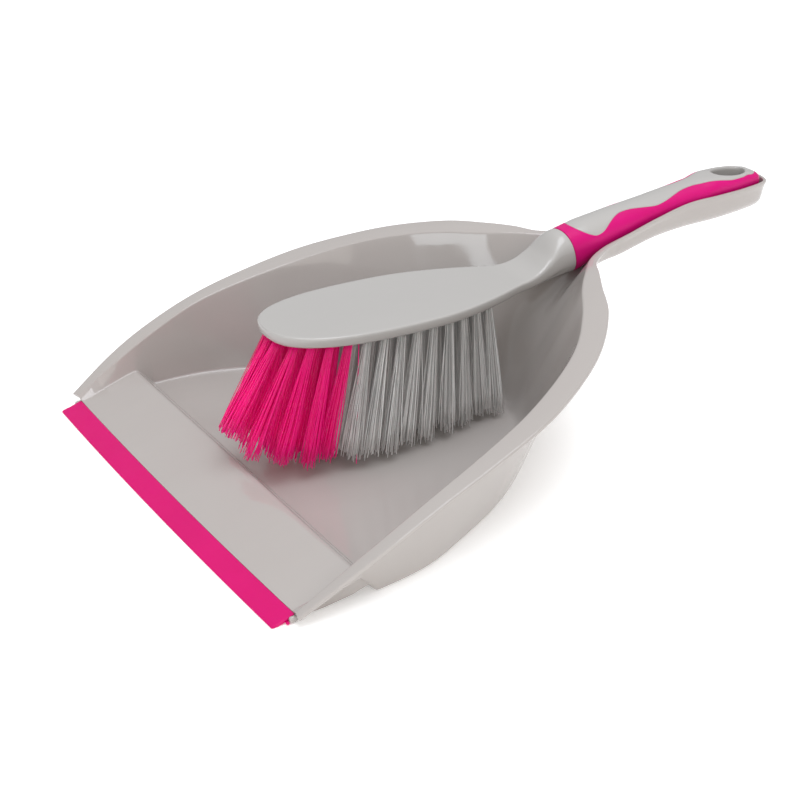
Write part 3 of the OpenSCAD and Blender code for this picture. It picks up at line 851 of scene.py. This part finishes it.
def tufts(node):
    """(root, tip) of each tuft of a CAD row, in the frame, in metres: the middles of its end faces."""
    co = np.array([v.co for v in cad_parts[node].data.vertices], float)
    co = co[np.argsort(co[:, 0])]
    high = co[co[:, 2] > co[:, 2].max() - TUFT_DEPTH]
    low = co[co[:, 2] < co[:, 2].min() + TUFT_DEPTH]
    return [(a.mean(0), b.mean(0)) for a, b in zip(clusters(high), clusters(low))]


def clusters(points):
    """Splits points, sorted by x, at the gaps between tufts."""
    cuts = np.nonzero(np.diff(points[:, 0]) > TUFT_GAP)[0] + 1
    return np.split(points, cuts)


def filament_tube(points, radius):
    """Rings of points round a line of points."""
    points = np.asarray(points)
    axis = unit(points[-1] - points[0])
    side = unit(np.cross(axis, [0.3, 1.0, 0.1]))
    other = np.cross(axis, side)
    turns = 2 * math.pi * np.arange(FILAMENT_SIDES) / FILAMENT_SIDES
    ring = np.cos(turns)[:, None] * side + np.sin(turns)[:, None] * other
    return points[:, None, :] + ring[None] * radius


def tube_sides(base):
    """Faces round one filament whose points start at base."""
    m = FILAMENT_SIDES
    faces = []
    for i in range(base, base + (FILAMENT_RINGS - 1) * m, m):
        for j in range(m):
            q = (j + 1) % m
            faces.append((i + j, i + q, i + m + q, i + m + j))
    return faces


def tube_ends(base):
    """Faces that close one filament whose points start at base."""
    last = base + (FILAMENT_RINGS - 1) * FILAMENT_SIDES
    root = tuple(base + j for j in reversed(range(FILAMENT_SIDES)))
    return [root, tuple(last + j for j in range(FILAMENT_SIDES))]


def make_row(index):
    """The filaments of one row of tufts, splayed a little from root to tip."""
    node = f"tuft_row_{index + 1:02d}"
    bright = index < BRIGHT_ROWS
    tubes, faces, tones = [], [], []
    per_tube = FILAMENT_RINGS * FILAMENT_SIDES
    t = np.linspace(0, 1, FILAMENT_RINGS)[:, None]   # from root to tip
    for root, tip in tufts(node):
        axis = unit(tip - root)
        side = unit(np.cross(axis, [0.0, 1.0, 0.0]))
        other = np.cross(side, axis)
        turn0 = rng.uniform(0, 2 * math.pi)
        lean = rng.normal(0, TUFT_LEAN, 3)
        for k in range(FILAMENTS):
            r = math.sqrt((k + 0.5) / FILAMENTS)
            a = turn0 + k * GOLDEN_TURN
            spread = np.array([math.cos(a), math.sin(a)]) * r
            start = root + (side * spread[0] + other * spread[1]) * ROOT_SPREAD
            fan = TIP_SPREAD + rng.uniform(*SPREADS)
            end = tip + (side * spread[0] * fan + other * spread[1] * fan * LONG_FAN) + lean
            end += rng.normal(0, TIP_SCATTER, 3) * [1, 1, 0]
            end += axis * rng.uniform(*LENGTHS)
            if rng.uniform() < WILD_SHARE:
                end += rng.normal(0, WILD_SCATTER, 3) * [1, 1, 0.2]
            bend = rng.normal(0, BEND, 3)
            line = start + (end - start) * t + bend * (t * (1 - t)) * 4 * t
            base = len(tubes) * per_tube
            faces += tube_sides(base) + tube_ends(base)
            tubes.append(filament_tube(line, FILAMENT_R * MM))
            # the rise from root to tip is painted shade at the roots
            tones.append(rng.uniform(0, OWN_TONE) + PAINTED_ROOT_SHADE * np.repeat(t[:, 0], FILAMENT_SIDES))
    if index == BRIGHT_ROWS - 1:   # one stray bright filament hangs among the grey ones
        root, tip = np.array(place((19.6, 93.4, 64.6))), np.array(place((21.0, 90.4, 4.6)))
        faces += tube_sides(len(tubes) * per_tube)
        tubes.append(filament_tube(root * (1 - t) + tip * t, FILAMENT_R * MM))
        tones.append(np.full(per_tube, STRAY_TONE))
    name = f"bristles_{index + 1:02d}"
    mesh = bpy.data.meshes.new(name)
    points = np.concatenate([tube.reshape(-1, 3) for tube in tubes])
    mesh.from_pydata(points.tolist(), [], faces)
    attribute = mesh.attributes.new("tone", "FLOAT", "POINT")
    attribute.data.foreach_set("value", np.concatenate(tones).astype(np.float32))
    mesh.shade_smooth()
    mesh.materials.append(bright_filament if bright else grey_filament)
    obj = bpy.data.objects.new(name, mesh)
    bpy.context.scene.collection.objects.link(obj)
    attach(obj, "brush")
    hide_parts(node)


# ---- The object ---------------------------------------------------------------------------------

pan = make_pan()
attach(pan, "pan")
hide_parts("pan_body")

lip = make_lip()
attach(lip, "pan")
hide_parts("lip_strip")

body = make_brush_body()
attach(body, "brush")
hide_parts("brush_core")

grip = make_grip()
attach(grip, "brush")
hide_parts("brush_grip")

for row in range(ROWS):
    make_row(row)

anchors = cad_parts["tuft_anchors"]
anchors.data.materials.clear()
anchors.data.materials.append(anchor_steel)


# ---- Camera -------------------------------------------------------------------------------------

AZIMUTH, ELEVATION = math.radians(57.118), math.radians(28.3)
CAMERA_AT = (568.2, -239.8, 381.3)
FOCAL_LENGTH = 73.545
camera_data = bpy.data.cameras.new("camera")
camera_data.sensor_width = 36
camera_data.lens = FOCAL_LENGTH
camera = bpy.data.objects.new("camera", camera_data)
bpy.context.scene.collection.objects.link(camera)
bpy.context.scene.camera = camera
camera.location = place(CAMERA_AT)
level = math.cos(ELEVATION)
back = Vector((math.sin(AZIMUTH) * level, -math.cos(AZIMUTH) * level, math.sin(ELEVATION)))
camera.rotation_mode = "QUATERNION"
camera.rotation_quaternion = (-back).to_track_quat("-Z", "Y")


# ---- Floor and light ----------------------------------------------------------------------------

FLOOR_SIZE = 12
FLOOR_GLOW = 0.26
HORIZON_LIGHT = 0.35   # the sky's strength at the horizon
ZENITH_LIGHT = 0.9     # and overhead, from ZENITH_FROM, the sine of an elevation, up
ZENITH_FROM = 0.9


def area_light(name, position, target, size, power, colour=(1, 1, 1)):
    data = bpy.data.lights.new(name, "AREA")
    data.shape = "RECTANGLE"
    data.size, data.size_y = size
    data.energy = power
    data.color = colour
    light = bpy.data.objects.new(name, data)
    bpy.context.scene.collection.objects.link(light)
    light.location = position
    light.rotation_mode = "QUATERNION"
    light.rotation_quaternion = (Vector(target) - Vector(position)).to_track_quat("-Z", "Y")


def make_floor():
    n = Nodes("studio_floor")
    n.set(Base_Color=n.mix(n.ramp(n.noise(3, 3, 0.5), 0, 1), rgb(250, 249, 248), rgb(254, 254, 253)))
    n.set(Roughness=0.6, Specular_IOR_Level=0.2)
    n.set(Emission_Color=(1, 1, 1, 1), Emission_Strength=FLOOR_GLOW)
    bpy.ops.mesh.primitive_plane_add(size=FLOOR_SIZE, location=(0, 0, -0.0001))
    floor = bpy.context.object
    floor.name = "studio_floor"
    floor.data.materials.append(n.material)


make_floor()
area_light("key", (0.3, 0.0, 1.5), (0, 0, 0.03), (1.0, 1.0), 12.2, (0.94, 0.985, 1.05))
area_light("fill", (1.6, -0.5, 0.7), (0, 0, 0.03), (1.2, 1.2), 5.0, (1.07, 1.0, 0.93))
area_light("window", (0.242, -1.054, 0.495), (-0.04, 0.02, 0.063), (0.31, 0.22), 0.85, (0.9, 0.96, 1.0))

scene = bpy.context.scene
scene.view_settings.view_transform = "Standard"
world = bpy.data.worlds.new("studio")
scene.world = world
world.use_nodes = True
sky = world.node_tree
background = sky.nodes["Background"]
direction = sky.nodes.new("ShaderNodeTexCoord")
height = sky.nodes.new("ShaderNodeSeparateXYZ")
strength = sky.nodes.new("ShaderNodeMapRange")
strength.inputs["From Min"].default_value = 0.0
strength.inputs["From Max"].default_value = ZENITH_FROM
strength.inputs["To Min"].default_value = HORIZON_LIGHT
strength.inputs["To Max"].default_value = ZENITH_LIGHT
sky.links.new(direction.outputs["Generated"], height.inputs["Vector"])
sky.links.new(height.outputs["Z"], strength.inputs["Value"])
sky.links.new(strength.outputs["Result"], background.inputs["Strength"])
background.inputs["Color"].default_value = (1, 1, 1, 1)
